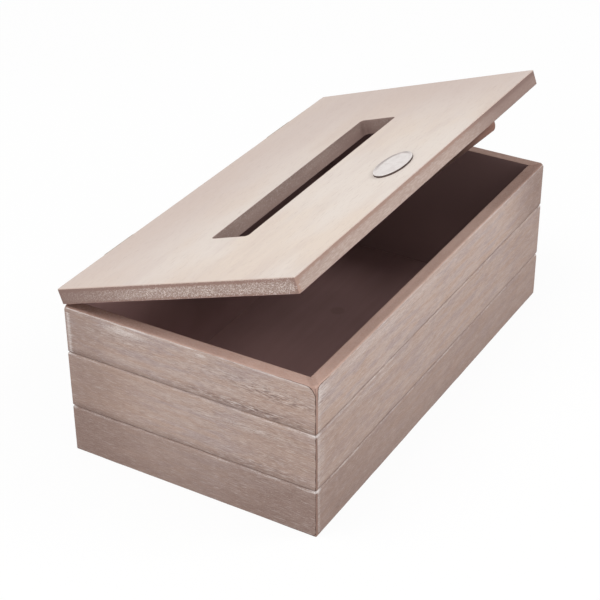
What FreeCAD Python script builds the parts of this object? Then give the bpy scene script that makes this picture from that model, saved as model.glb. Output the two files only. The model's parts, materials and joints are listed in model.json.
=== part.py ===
import FreeCAD, Part
import math
import os

# Tissue box of limed wood planks with a slotted lid on two butt hinges.
# All sizes are millimetres. X runs along the length, -Y is the front (the lid's
# free edge), +Y is the back (the hinge side) and +Z is up. The origin is the
# middle of the underside, on the surface that the box stands on.
# The lid is built shut and then swung open about the hinge pins.

Vector = FreeCAD.Vector

# ---------------------------------------------------------------- the body
box_length = 250.0             # outside, along X
box_width = 137.0              # outside, along Y
bottom_course_height = 26.0    # the three courses of planks, from the base up
middle_course_height = 31.0
top_course_height = 25.8
wall_thickness = 6.5           # of every plank
groove_easing = 1.2            # round on the plank edges that face a groove
rim_easing = 1.0               # round on the outer edge of the rim
foot_easing = 0.3              # round on the outer edge that stands on the table
corner_easing = 1.0            # round on the four upright corners
corner_wear_reach = 3.6        # how far the sanded tip of a rim corner reaches
corner_wear_depth = 1.5        # how much is sanded off that tip
bottom_board_thickness = 4.0
rebate_width = 3.5             # step in the bottom planks that takes the board
board_fit = 0.15               # gap all round the bottom board in its step

# ----------------------------------------------------------------- the lid
lid_thickness = 8.0
lid_gap = 0.2                  # between the rim and the shut lid
lid_corner_easing = 0.8        # round on its four upright corners: over twice the next two
lid_under_easing = 0.35        # round on the lid's lower edges
lid_top_easing = 0.3           # round on the lid's upper edges
lid_open_angle = 19.1          # degrees that the lid stands open at rest
slot_length = 149.0            # the opening that tissues are drawn through
slot_width = 21.0
slot_corner_radius = 2.0
slot_offset = -2.2             # from the middle of the lid, along X
slot_turn = 0.5                # degrees that it is cut askew

batten_length = 165.0          # locating strip under the lid's front edge
batten_width = 8.0
batten_thickness = 8.1
batten_end_radius = 3.0
batten_clearance = 0.85        # between the strip's right end and the front wall
batten_turn = 5.2              # degrees that its left end is swung back from the edge

badge_length = 31.2            # oval metal plate on the lid
badge_width = 17.0
badge_thickness = 1.0
badge_border = 1.3             # width of its raised border
badge_recess = 0.3             # depth of the field inside the border
badge_edge_distance = 19.0     # from the lid's front edge to the oval's centre
badge_offset = -1.7            # from the middle of the lid, along X
badge_turn = 6.0               # degrees that it sits askew

# -------------------------------------------------------------- the hinges
hinge_inset = 50.0             # from each end of the box to the middle of a hinge
hinge_length = 25.0
knuckle_count = 5              # odd ones belong to the lid leaf
knuckle_gap = 0.2              # end play between two knuckles
leaf_thickness = 0.6
leaf_reach = 7.8               # from the pin's axis to the leaf's far edge
leaf_corner_radius = 1.0
pin_diameter = 1.2
pin_clearance = 0.05           # radial running fit of the knuckles on the pin
pin_overhang = 0.4             # how far the pin stands out at each end
knuckle_relief = 0.3           # round the knuckles, to the wood and to the other leaf

screw_spacing = 15.0           # between the two screws of a leaf
screw_diameter = 2.0
screw_length = 6.0             # head included
screw_tip_radius = 0.1
screw_head_diameter = 3.6
screw_head_height = 0.9
screw_drop = 4.6               # from the pin's axis to the screws
screw_fit = 0.05               # radial gap round a screw
screw_slot_width = 0.5
screw_slot_depth = 0.35

# ------------------------------------------------- sizes that follow from these
body_height = bottom_course_height + middle_course_height + top_course_height
inner_length = box_length - 2 * wall_thickness
inner_width = box_width - 2 * wall_thickness
rear_y = box_width / 2
front_y = -box_width / 2
lid_bottom = body_height + lid_gap
lid_top = lid_bottom + lid_thickness

hinge_spacing = box_length - 2 * hinge_inset
pin_radius = pin_diameter / 2
knuckle_radius = pin_radius + leaf_thickness
axis_y = rear_y + leaf_thickness
axis_z = body_height + lid_gap / 2
knuckle_pitch = hinge_length / knuckle_count
body_screw_z = axis_z - screw_drop
lid_screw_z = axis_z + screw_drop

OVERSHOOT = 5.0                # how far a cutting tool passes a face
SLIVER = 0.01                  # overlap that joins two parts of one piece


def block(x0, x1, y0, y1, z0, z1):
    """A plain box between two corners."""
    return Part.makeBox(x1 - x0, y1 - y0, z1 - z0, Vector(x0, y0, z0))


def centred_block(length, width, z0, z1):
    """A plain box about the Z axis."""
    return block(-length / 2, length / 2, -width / 2, width / 2, z0, z1)


def prism(points, z0, z1):
    """An upright prism over a polygon given in X and Y."""
    corners = [Vector(x, y, z0) for x, y in points]
    wire = Part.makePolygon(corners + [corners[0]])
    return Part.Face(wire).extrude(Vector(0, 0, z1 - z0))


def upright_edges(shape):
    """The straight edges of a shape that run along Z."""
    return [e for e in shape.Edges if e.BoundBox.ZLength > 1e-6 and e.BoundBox.XLength < 1e-6
            and e.BoundBox.YLength < 1e-6]


def level_edges(shape, z):
    """The edges of a shape that lie at one height."""
    return [e for e in shape.Edges if abs(e.BoundBox.ZMin - z) < 1e-6 and abs(e.BoundBox.ZMax - z) < 1e-6]


def eased_board(length, width, z0, z1, corner, lower, upper):
    """A board about the Z axis, with its corners and its two outlines rounded."""
    board = centred_block(length, width, z0, z1)
    board = board.makeFillet(corner, upright_edges(board))
    board = board.makeFillet(lower, level_edges(board, z0))
    return board.makeFillet(upper, level_edges(board, z1))


def swing(shape):
    """A lid piece turned from the shut place to the one it rests in."""
    turned = shape.copy()
    turned.rotate(Vector(0, axis_y, axis_z), Vector(-1, 0, 0), lid_open_angle)
    return turned


# ------------------------------------------------------------------- planks
def worn_corner(sign_x, sign_y):
    """What sanding takes off one rim corner: all of it outside a large ball."""
    reach, depth = corner_wear_reach, corner_wear_depth
    # The ball's centre lies `inset` in from all three faces. It cuts the edges
    # `reach` from the corner and passes `depth` under the corner's tip.
    root3 = math.sqrt(3)
    inset = (reach * reach - depth * depth) / (2 * (reach - root3 * depth))
    radius = inset * root3 - depth
    corner = Vector(sign_x * box_length / 2, sign_y * box_width / 2, body_height)
    centre = corner - Vector(sign_x * inset, sign_y * inset, inset)
    tip = block(-reach, OVERSHOOT, -reach, OVERSHOOT, -reach, OVERSHOOT)
    if sign_x < 0:
        tip = tip.mirror(Vector(0, 0, 0), Vector(1, 0, 0))
    if sign_y < 0:
        tip = tip.mirror(Vector(0, 0, 0), Vector(0, 1, 0))
    tip.translate(corner)
    return tip.cut(Part.makeSphere(radius, centre))


def course_ring(z0, z1, lower, upper):
    """One course of planks before it is parted at the mitres."""
    outside = eased_board(box_length, box_width, z0, z1, corner_easing, lower, upper)
    return outside.cut(centred_block(inner_length, inner_width, z0 - OVERSHOOT, z1 + OVERSHOOT))


def bottom_ring():
    """The lowest course, with the step that holds the bottom board."""
    ring = course_ring(0, bottom_course_height, foot_easing, groove_easing)
    step = centred_block(inner_length + 2 * rebate_width, inner_width + 2 * rebate_width,
                         -OVERSHOOT, bottom_board_thickness)
    return ring.cut(step)


def middle_ring():
    """The course in the middle."""
    z0 = bottom_course_height
    return course_ring(z0, z0 + middle_course_height, groove_easing, groove_easing)


def top_ring():
    """The course that ends in the rim, with its four tips sanded round."""
    ring = course_ring(body_height - top_course_height, body_height, groove_easing, rim_easing)
    for sign_x in (-1, 1):
        for sign_y in (-1, 1):
            ring = ring.cut(worn_corner(sign_x, sign_y))
    return ring


def mitre_wedge(side):
    """The space between the two mitre planes of one side of the box."""
    far_x = box_length / 2 + OVERSHOOT
    far_y = box_width / 2 + OVERSHOOT
    near_x = box_length / 2 - wall_thickness - OVERSHOOT
    near_y = box_width / 2 - wall_thickness - OVERSHOOT
    outlines = {
        "front": [(-far_x, -far_y), (far_x, -far_y), (near_x, -near_y), (-near_x, -near_y)],
        "rear": [(far_x, far_y), (-far_x, far_y), (-near_x, near_y), (near_x, near_y)],
        "left": [(-far_x, far_y), (-far_x, -far_y), (-near_x, -near_y), (-near_x, near_y)],
        "right": [(far_x, -far_y), (far_x, far_y), (near_x, near_y), (near_x, -near_y)],
    }
    return prism(outlines[side], -OVERSHOOT, body_height + OVERSHOOT)


def planks():
    """The twelve planks of the walls, by name."""
    rings = {"bottom": bottom_ring(), "middle": middle_ring(), "top": top_ring()}
    pieces = {}
    for side in ("front", "rear", "left", "right"):
        wedge = mitre_wedge(side)
        for course, ring in rings.items():
            pieces[side + "_plank_" + course] = ring.common(wedge)
    hinge_cuts = Part.makeCompound([screw_bores(body_screw_z), knuckle_notches()])
    pieces["rear_plank_top"] = pieces["rear_plank_top"].cut(hinge_cuts)
    return pieces


def bottom_board():
    """The thin board that closes the box, flush with the planks' undersides."""
    length = inner_length + 2 * (rebate_width - board_fit)
    width = inner_width + 2 * (rebate_width - board_fit)
    return centred_block(length, width, 0, bottom_board_thickness)


# ---------------------------------------------------------------------- lid
def lid_board():
    """The slotted board, with the bores for its hinge screws."""
    board = eased_board(box_length, box_width, lid_bottom, lid_top,
                        lid_corner_easing, lid_under_easing, lid_top_easing)
    slot = centred_block(slot_length, slot_width, lid_bottom - OVERSHOOT, lid_top + OVERSHOOT)
    slot = slot.makeFillet(slot_corner_radius, upright_edges(slot))
    slot.rotate(Vector(0, 0, 0), Vector(0, 0, 1), slot_turn)
    slot.translate(Vector(slot_offset, 0, 0))
    return swing(board.cut(slot).cut(screw_bores(lid_screw_z)).cut(knuckle_notches()))


def lid_front_batten():
    """The strip under the lid that drops just inside the front wall, slightly askew."""
    x1 = batten_length / 2
    y0 = front_y + wall_thickness + batten_clearance
    strip = block(-x1, x1, y0, y0 + batten_width, lid_bottom - batten_thickness, lid_bottom)
    lower_ends = [e for e in level_edges(strip, lid_bottom - batten_thickness)
                  if e.BoundBox.YLength > e.BoundBox.XLength]
    strip = strip.makeFillet(batten_end_radius, lower_ends)
    strip.rotate(Vector(x1, y0, 0), Vector(0, 0, 1), -batten_turn)
    return swing(strip)


def oval(length, width, z0, z1):
    """An upright oval prism about the Z axis."""
    outline = Part.Ellipse(Vector(0, 0, z0), length / 2, width / 2).toShape()
    return Part.Face(Part.Wire([outline])).extrude(Vector(0, 0, z1 - z0))


def badge_plate():
    """The oval plate with a raised border and a bare field."""
    plate = oval(badge_length, badge_width, 0, badge_thickness)
    field = oval(badge_length - 2 * badge_border, badge_width - 2 * badge_border,
                 badge_thickness - badge_recess, badge_thickness + OVERSHOOT)
    plate = plate.cut(field)
    plate.rotate(Vector(0, 0, 0), Vector(0, 0, 1), badge_turn)
    plate.translate(Vector(badge_offset, front_y + badge_edge_distance, lid_top))
    return swing(plate)


# ------------------------------------------------------------------- hinges
def hinge_centres():
    """The X places of the two hinges."""
    return {"left": -hinge_spacing / 2, "right": hinge_spacing / 2}


def screw_xs():
    """The X places of all the screws on one side of the hinges."""
    return [x + shift for x in hinge_centres().values()
            for shift in (-screw_spacing / 2, screw_spacing / 2)]


def rod(radius, x0, x1):
    """A round bar along the hinge axis."""
    return Part.makeCylinder(radius, x1 - x0, Vector(x0, axis_y, axis_z), Vector(1, 0, 0))


def knuckle_notches():
    """The round notches in the wood that the knuckles of both hinges turn in."""
    half = hinge_length / 2 + knuckle_relief
    radius = knuckle_radius + knuckle_relief
    return Part.makeCompound([rod(radius, x - half, x + half) for x in hinge_centres().values()])


def leaf_screw_holes(x_middle, z):
    """The two countersunk holes of a leaf."""
    holes = []
    for shift in (-screw_spacing / 2, screw_spacing / 2):
        holes.append(screw_body(x_middle + shift, z, screw_fit))
    return holes


def leaf(x_middle, owned, upward):
    """One leaf with its knuckles, for the lid where `upward`, else for the body."""
    x0 = x_middle - hinge_length / 2
    x1 = x_middle + hinge_length / 2
    sign = 1 if upward else -1
    edge_near = axis_z + sign * (knuckle_radius + knuckle_relief)
    edge_far = axis_z + sign * leaf_reach
    z_low, z_high = sorted((edge_near, edge_far))
    plate = block(x0, x1, rear_y, rear_y + leaf_thickness, z_low, z_high)
    corners = [e for e in plate.Edges if e.BoundBox.YLength > 1e-6
               and abs(e.BoundBox.ZMin - edge_far) < 1e-6]
    plate = plate.makeFillet(leaf_corner_radius, corners)
    for index in owned:
        k0 = x0 + index * knuckle_pitch + (knuckle_gap / 2 if index > 0 else 0)
        k1 = x0 + (index + 1) * knuckle_pitch - (knuckle_gap / 2 if index < knuckle_count - 1 else 0)
        z_low, z_high = sorted((axis_z, edge_near + sign * SLIVER))
        tongue = block(k0, k1, rear_y, rear_y + leaf_thickness, z_low, z_high)
        plate = plate.fuse([tongue, rod(knuckle_radius, k0, k1)])
    plate = plate.removeSplitter().cut(rod(pin_radius + pin_clearance, x0 - OVERSHOOT, x1 + OVERSHOOT))
    for hole in leaf_screw_holes(x_middle, lid_screw_z if upward else body_screw_z):
        plate = plate.cut(hole)
    return plate


def hinges():
    """Both hinges, each as a body leaf, a lid leaf and a pin."""
    body_knuckles = range(0, knuckle_count, 2)
    lid_knuckles = range(1, knuckle_count, 2)
    pieces = {}
    for side, x in hinge_centres().items():
        half = hinge_length / 2 + pin_overhang
        pieces[side + "_hinge_body_leaf"] = leaf(x, body_knuckles, False)
        pieces[side + "_hinge_lid_leaf"] = swing(leaf(x, lid_knuckles, True))
        pieces[side + "_hinge_pin"] = rod(pin_radius, x - half, x + half)
    return pieces


def screw_body(x, z, extra):
    """A countersunk screw without its slot, driven from the back; `extra` widens it all round."""
    radius = screw_diameter / 2 + extra
    head_radius = screw_head_diameter / 2 + extra
    seat = Vector(x, axis_y, z)
    inward = Vector(0, -1, 0)
    head = Part.makeCone(head_radius, radius, screw_head_height, seat, inward)
    tip_length = screw_diameter
    straight = screw_length - tip_length + extra
    shank = Part.makeCylinder(radius, straight, seat, inward)
    tip = Part.makeCone(radius, screw_tip_radius + extra, tip_length, seat + inward * straight, inward)
    return head.fuse([shank, tip]).removeSplitter()


def screw_bores(z):
    """The bores that the screws of both hinges cut in the wood."""
    bores = [screw_body(x, z, screw_fit) for x in screw_xs()]
    return Part.makeCompound(bores)


def screw(x, z):
    """One slotted countersunk screw."""
    slot = block(x - screw_head_diameter, x + screw_head_diameter,
                 axis_y - screw_slot_depth, axis_y + OVERSHOOT,
                 z - screw_slot_width / 2, z + screw_slot_width / 2)
    return screw_body(x, z, 0).cut(slot)


def screws():
    """The screws of the body leaves and of the lid leaves."""
    body_side = Part.makeCompound([screw(x, body_screw_z) for x in screw_xs()])
    lid_side = Part.makeCompound([screw(x, lid_screw_z) for x in screw_xs()])
    return {"hinge_screws_body": body_side, "hinge_screws_lid": swing(lid_side)}


def assemble():
    """Every piece of the tissue box, by name."""
    pieces = planks()
    pieces["bottom_board"] = bottom_board()
    pieces["lid_board"] = lid_board()
    pieces["lid_front_batten"] = lid_front_batten()
    pieces["badge_plate"] = badge_plate()
    pieces.update(hinges())
    pieces.update(screws())
    return pieces


os.makedirs("parts", exist_ok=True)
for name, shape in assemble().items():
    shape.exportStep(os.path.join("parts", name + ".step"))
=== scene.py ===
import json
import math
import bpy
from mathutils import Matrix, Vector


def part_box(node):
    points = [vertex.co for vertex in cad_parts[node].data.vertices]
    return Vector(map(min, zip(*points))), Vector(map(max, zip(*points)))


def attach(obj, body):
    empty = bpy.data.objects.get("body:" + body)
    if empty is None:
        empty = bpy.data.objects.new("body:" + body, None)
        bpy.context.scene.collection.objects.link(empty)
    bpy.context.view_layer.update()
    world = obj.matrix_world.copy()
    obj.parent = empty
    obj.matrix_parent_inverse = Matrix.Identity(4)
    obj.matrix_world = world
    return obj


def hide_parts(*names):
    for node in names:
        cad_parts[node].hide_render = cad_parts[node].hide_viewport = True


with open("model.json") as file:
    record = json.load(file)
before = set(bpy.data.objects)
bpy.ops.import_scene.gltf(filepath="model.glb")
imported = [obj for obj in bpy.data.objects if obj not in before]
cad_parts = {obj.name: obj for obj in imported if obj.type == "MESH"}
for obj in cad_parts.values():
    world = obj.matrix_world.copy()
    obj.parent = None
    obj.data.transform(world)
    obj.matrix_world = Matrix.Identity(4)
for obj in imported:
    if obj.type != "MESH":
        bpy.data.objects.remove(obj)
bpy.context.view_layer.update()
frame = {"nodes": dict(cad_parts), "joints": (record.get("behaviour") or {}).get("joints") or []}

from types import SimpleNamespace

import bmesh
import bpy
import numpy as np
from mathutils import Euler, Vector

# Tissue box of limed planks with a slotted lid. Lengths are millimetres until a
# mesh is made. -Y is the front, -X the left end, and the lid's hinge is at the back.
MM = 0.001


# ------------------------------------------------------------ sizes of the frame
def box_mm(node):
    """Lowest and highest corner of a CAD node, in millimetres."""
    low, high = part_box(node)
    return np.array(low) / MM, np.array(high) / MM


front_low, front_high = box_mm("front_plank_bottom")
HALF_X = front_high[0]
HALF_Y = box_mm("left_plank_bottom")[1][1]
WALL = front_high[1] - front_low[1]
COURSES = {}
for course in ("bottom", "middle", "top"):
    low, high = box_mm("left_plank_" + course)
    COURSES[course] = (low[2], high[2])
BODY_HEIGHT = COURSES["top"][1]
BOARD_HEIGHT = box_mm("bottom_board")[1][2]
BOARD_STEP = 3.5
joint = frame["joints"][0]
HINGE_Y = joint["pos_m"][1] / MM
HINGE_Z = joint["pos_m"][2] / MM
LID_OPEN = math.radians(-joint["range_deg"][0])
# The hinge's axis is midway between the rim and the underside of the shut lid.
LID_LOW = 2 * HINGE_Z - BODY_HEIGHT
LID_THICKNESS = 8.0
LID_HIGH = LID_LOW + LID_THICKNESS
SLOT_HALF_X, SLOT_HALF_Y, SLOT_RADIUS = 74.5, 10.5, 2.0
SLOT_OFFSET = -2.2
SLOT_TURN = math.radians(0.5)
BADGE_SIZE = (15.6, 8.5)
BADGE_PLACE = (-1.7, 19.0 - HALF_Y)
BADGE_TURN = math.radians(6)

# ------------------------------------------------------------------------- noise
HASH_X, HASH_Y, HASH_SEED, HASH_MIX = 374761393, 668265263, 974634777, 1274126177
HASH_BITS, VALUE_BITS = 0xFFFFFFFF, 0xFFFF


def lattice(ix, iy, seed):
    """A repeatable value from 0 to 1 at each whole-number place."""
    hashed = ix.astype(np.int64) * HASH_X + iy.astype(np.int64) * HASH_Y + seed * HASH_SEED
    hashed = hashed & HASH_BITS
    hashed = ((hashed ^ (hashed >> 13)) * HASH_MIX) & HASH_BITS
    return ((hashed ^ (hashed >> 16)) & VALUE_BITS) / VALUE_BITS


def noise(x, y, seed):
    """Smooth noise from -1 to 1 whose cells are one unit across."""
    x, y = np.broadcast_arrays(np.asarray(x, float), np.asarray(y, float))
    ix, iy = np.floor(x), np.floor(y)
    fx, fy = x - ix, y - iy
    fx = fx * fx * (3 - 2 * fx)
    fy = fy * fy * (3 - 2 * fy)
    low = lattice(ix, iy, seed) * (1 - fx) + lattice(ix + 1, iy, seed) * fx
    high = lattice(ix, iy + 1, seed) * (1 - fx) + lattice(ix + 1, iy + 1, seed) * fx
    return 2 * (low * (1 - fy) + high * fy) - 1


def smooth(x, low, high):
    """Smoothly from 0, at low, to 1, at high. Low may be the larger of the two."""
    t = np.clip((x - low) / (high - low), 0, 1)
    return t * t * (3 - 2 * t)


def bell(x, width):
    """1 at zero, falling away on both sides."""
    return np.exp(-(x / width) ** 2)


# --------------------------------------------------------------------- materials
NOISE_RANGE = (0.3, 0.7)       # where most values of a shader's noise lie


def srgb(red, green, blue):
    """A colour given in 0 to 255 display values."""
    channels = [c / 255 for c in (red, green, blue)]
    linear = [c / 12.92 if c <= 0.04045 else ((c + 0.055) / 1.055) ** 2.4 for c in channels]
    return (*linear, 1.0)


class NodeTree:
    """A node tree that is put together by small calls."""

    def __init__(self, owner):
        owner.use_nodes = True
        self.tree = owner.node_tree
        self.tree.nodes.clear()

    def fill(self, made, key, value):
        """Links an input of a node, or sets it."""
        if isinstance(value, bpy.types.NodeSocket):
            self.tree.links.new(value, made.inputs[key])
        else:
            made.inputs[key].default_value = value

    def node(self, kind, inputs=None, **settings):
        made = self.tree.nodes.new(kind)
        for key, value in settings.items():
            setattr(made, key, value)
        for key, value in (inputs or {}).items():
            self.fill(made, key, value)
        return made

    def attribute(self, name, output="Fac"):
        """A value that the mesh keeps at its points."""
        return self.node("ShaderNodeAttribute", attribute_name=name).outputs[output]

    def place(self):
        """The place in the piece's own coordinates."""
        return self.node("ShaderNodeTexCoord").outputs["Object"]

    def math(self, operation, *values):
        return self.node("ShaderNodeMath", dict(enumerate(values)), operation=operation).outputs[0]

    def plus(self, first, second):
        return self.math("ADD", first, second)

    def minus(self, first, second):
        return self.math("SUBTRACT", first, second)

    def times(self, first, second):
        return self.math("MULTIPLY", first, second)

    def ramp(self, value, low, high, to_low=0.0, to_high=1.0):
        """Smoothly from to_low, at low, to to_high, at high."""
        inputs = {"Value": value, "From Min": low, "From Max": high,
                  "To Min": to_low, "To Max": to_high}
        return self.node("ShaderNodeMapRange", inputs, interpolation_type="SMOOTHSTEP").outputs[0]

    def vary(self, noise, low=0.0, high=1.0):
        """From low to high over the range of a noise."""
        return self.ramp(noise, *NOISE_RANGE, low, high)

    def noise(self, place, cell, detail, roughness, distortion=0.0):
        """Noise from 0 to 1 whose cells have these sizes, in millimetres, along the axes."""
        scale = [1 / (c * MM) for c in cell]
        stretch = self.node("ShaderNodeMapping", {"Vector": place, "Scale": scale})
        inputs = {"Vector": stretch.outputs[0], "Scale": 1.0, "Detail": detail,
                  "Roughness": roughness, "Distortion": distortion}
        return self.node("ShaderNodeTexNoise", inputs).outputs["Fac"]

    def mix(self, factor, first, second):
        """A colour between two. The numbers are the colour sockets of the mix node."""
        made = self.node("ShaderNodeMix", data_type="RGBA", clamp_factor=True)
        for key, value in ((0, factor), (6, first), (7, second)):
            self.fill(made, key, value)
        return made.outputs[2]

    def finish(self, colour, roughness, height, bump_mm, specular=0.25, metallic=0.0):
        """The surface, whose fine relief is bump_mm deep."""
        relief = {"Height": height, "Strength": 1.0, "Distance": bump_mm * MM}
        inputs = {"Base Color": colour, "Roughness": roughness, "Specular IOR Level": specular,
                  "Metallic": metallic, "Normal": self.node("ShaderNodeBump", relief).outputs[0]}
        surface = self.node("ShaderNodeBsdfPrincipled", inputs).outputs[0]
        self.node("ShaderNodeOutputMaterial", {"Surface": surface})


def new_material(name):
    material = bpy.data.materials.new(name)
    return material, NodeTree(material)


# Lime, the wood under it, bare wood, the joints and the staining inside.
LIME = srgb(221, 212, 209)
TAUPE = srgb(190, 170, 161)
TAUPE_DARK = srgb(139, 116, 107)
TAUPE_WARM = srgb(181, 153, 137)
TAUPE_GREY = srgb(172, 155, 153)
PORE = srgb(120, 100, 94)
BARE = srgb(200, 167, 153)
BARE_DARK = srgb(142, 110, 97)
# The joints' colour also paints shade in the grooves between planks.
JOINT = srgb(88, 69, 63)
STAIN = srgb(158, 126, 123)
# Darker staining, also used as painted shade inside the box.
STAIN_DARK_AND_SHADE = srgb(118, 93, 90)
# Painted shade at the right end of the bottom board.
STAIN_PAINTED_SHADE = srgb(88, 68, 65)
# Painted light towards the left end inside the box.
STAIN_PAINTED_LIGHT = srgb(174, 139, 135)
FLOOR_KNOT = (0.046, 0.0165, 0.0045)       # place of a knot in the bottom board, in metres


def limed_planks():
    """Brushed planks with lime in the grain, bare where the edges are sanded."""
    material, tree = new_material("limed_planks")
    place = tree.attribute("grain", "Vector")
    brush = tree.attribute("brush")
    warmth = tree.noise(place, (28, 3.4, 3.4), 3, 0.6, 0.2)
    greyness = tree.noise(place, (24, 4.2, 4.2), 3, 0.6, 0.4)
    cloud = tree.noise(place, (11, 5, 5), 3, 0.6)
    fibre = tree.noise(place, (4.0, 0.32, 0.32), 3, 0.65)
    grit = tree.noise(place, (0.8, 0.5, 0.5), 2, 0.6)
    dash = tree.noise(place, (5.6, 0.46, 0.46), 2, 0.55)
    rows = tree.noise(place, (40, 2.6, 2.6), 2, 0.6, 0.2)
    speck = tree.noise(place, (4.4, 0.72, 0.72), 2, 0.6)

    # The colour under the lime: warm and grey drifts, darker low on the box, partly as painted shade.
    colour = tree.mix(tree.ramp(warmth, 0.42, 0.62, 0.0, 0.62), TAUPE, TAUPE_WARM)
    colour = tree.mix(tree.ramp(greyness, 0.46, 0.64, 0.0, 0.7), colour, TAUPE_GREY)
    colour = tree.mix(tree.attribute("warm"), colour, TAUPE_WARM)
    shade = tree.plus(tree.attribute("shade"), tree.vary(cloud, 0.07, -0.07))
    colour = tree.mix(shade, colour, TAUPE_DARK)

    # Open grain: short dark pores and short dashes of lime, gathered in rows.
    pores = tree.times(tree.ramp(fibre, 0.50, 0.32), tree.plus(tree.times(brush, 0.36), 0.16))
    colour = tree.mix(pores, colour, PORE)
    pale = tree.times(tree.ramp(fibre, 0.52, 0.70), tree.plus(tree.times(brush, 0.36), 0.09))
    colour = tree.mix(pale, colour, LIME)
    gathered = tree.times(tree.ramp(rows, 0.42, 0.68, 0.15, 0.9), brush)
    dashes = tree.times(tree.ramp(dash, 0.51, 0.70), tree.times(gathered, 0.55))
    colour = tree.mix(dashes, colour, LIME)
    holes = tree.times(tree.ramp(dash, 0.47, 0.30), tree.times(gathered, 0.5))
    colour = tree.mix(holes, colour, PORE)
    colour = tree.mix(tree.ramp(grit, 0.42, 0.72, 0.0, 0.09), colour, LIME)
    rough = tree.attribute("rough")
    colour = tree.mix(tree.times(tree.ramp(speck, 0.50, 0.38), rough), colour, PORE)
    rough_lime = tree.times(tree.ramp(speck, 0.54, 0.68), tree.times(rough, 0.7))
    colour = tree.mix(rough_lime, colour, LIME)

    # Lime left on the face in broken clouds and lines.
    lime = tree.attribute("lime")
    crumbs = tree.plus(tree.times(tree.minus(dash, 0.5), 1.1), tree.times(tree.minus(grit, 0.5), 0.9))
    ragged = tree.plus(lime, tree.times(crumbs, tree.ramp(lime, 0.0, 0.3)))
    colour = tree.mix(tree.ramp(ragged, 0.0, 1.1, 0.0, 0.95), colour, LIME)

    # Sanded edges show the brown wood, with a dark line where the lime ends.
    bare = tree.attribute("bare")
    torn = tree.plus(bare, tree.times(tree.minus(fibre, 0.5), 0.6))
    # The bare wood's darkness includes painted shade on the rim.
    worn_and_shade = tree.plus(tree.attribute("worn_and_shade"), tree.vary(cloud, 0.08, -0.08))
    wood = tree.mix(worn_and_shade, BARE, BARE_DARK)
    wood = tree.mix(tree.vary(grit, 0.0, 0.12), wood, LIME)
    colour = tree.mix(tree.ramp(torn, 0.14, -0.14), colour, wood)
    line = tree.times(tree.ramp(tree.math("ABSOLUTE", torn), 0.36, 0.08), tree.attribute("crease"))
    colour = tree.mix(line, colour, JOINT)
    # Dark mitre joints, and painted shade in the grooves.
    joint_and_groove_shade = tree.times(tree.attribute("joint"), tree.ramp(dash, 0.75, 0.45, 0.55, 1.0))
    colour = tree.mix(joint_and_groove_shade, colour, JOINT)

    relief = tree.plus(tree.plus(tree.times(fibre, 0.6), tree.times(dash, 0.7)), tree.times(grit, 0.4))
    tree.finish(colour, tree.vary(fibre, 0.74, 0.88), tree.times(relief, brush), 0.13)
    return material


def stained_inside():
    """Dark brown staining inside, with painted shade high up and at the right end, painted light at
    the left.
    """
    material, tree = new_material("stained_inside")
    place = tree.place()
    parts = tree.node("ShaderNodeSeparateXYZ", {"Vector": place})
    height, along = parts.outputs["Z"], parts.outputs["X"]
    grain = tree.noise(place, (30, 30, 2.2), 3, 0.55)
    patch = tree.noise(place, (34, 34, 34), 2, 0.5)
    # Painted shade: the inner faces are darker high up, under the lid.
    colour = tree.mix(tree.ramp(height, 0.048, 0.012), STAIN_DARK_AND_SHADE, STAIN)
    colour = tree.mix(tree.vary(grain, 0.0, 0.08), colour, STAIN)
    # Painted light towards the left end, painted shade towards the right end.
    colour = tree.mix(tree.ramp(along, 0.0, -0.1), colour, STAIN_PAINTED_LIGHT)
    colour = tree.mix(tree.ramp(along, 0.06, 0.11, 0.0, 0.8), colour, STAIN_DARK_AND_SHADE)
    colour = tree.mix(tree.ramp(patch, 0.4, 0.7, 0.0, 0.25), colour, STAIN_DARK_AND_SHADE)
    tree.finish(colour, tree.vary(patch, 0.66, 0.76), grain, 0.02)
    return material


def stained_board():
    """The bottom board: stained the same, with painted light towards the left end and painted shade at
    the right.
    """
    material, tree = new_material("stained_board")
    place = tree.place()
    along = tree.node("ShaderNodeSeparateXYZ", {"Vector": place}).outputs["X"]
    grain = tree.noise(place, (60, 4, 4), 3, 0.5)
    patch = tree.noise(place, (50, 34, 34), 2, 0.5)
    colour = tree.mix(tree.vary(grain, 0.85, 1.0), STAIN_DARK_AND_SHADE, STAIN)
    colour = tree.mix(tree.ramp(patch, 0.4, 0.7, 0.0, 0.2), colour, STAIN_DARK_AND_SHADE)
    # Painted light towards the left end, painted shade at the right end.
    colour = tree.mix(tree.ramp(along, 0.04, -0.04, 0.0, 0.9), colour, STAIN_PAINTED_LIGHT)
    colour = tree.mix(tree.ramp(along, 0.07, 0.117, 0.0, 0.15), colour, STAIN_PAINTED_SHADE)
    to_knot = tree.node("ShaderNodeVectorMath", {0: place, 1: FLOOR_KNOT}, operation="DISTANCE")
    knot = tree.ramp(to_knot.outputs["Value"], 0.0048, 0.0030, 0.0, 0.2)
    colour = tree.mix(knot, colour, JOINT)
    tree.finish(colour, tree.vary(patch, 0.66, 0.76), grain, 0.02)
    return material


# The lid: its top face, its sawn edges and their rubbed margins.
LID_PALE = srgb(233, 222, 213)
LID_WARM = srgb(231, 216, 203)
LID_GREY = srgb(210, 192, 184)
LID_EDGE = srgb(180, 159, 149)
LID_EDGE_DARK = srgb(134, 111, 104)
LID_EDGE_PALE = srgb(225, 214, 209)
LID_BARE = srgb(172, 141, 128)
LID_BARE_DARK = srgb(146, 118, 108)


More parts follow.
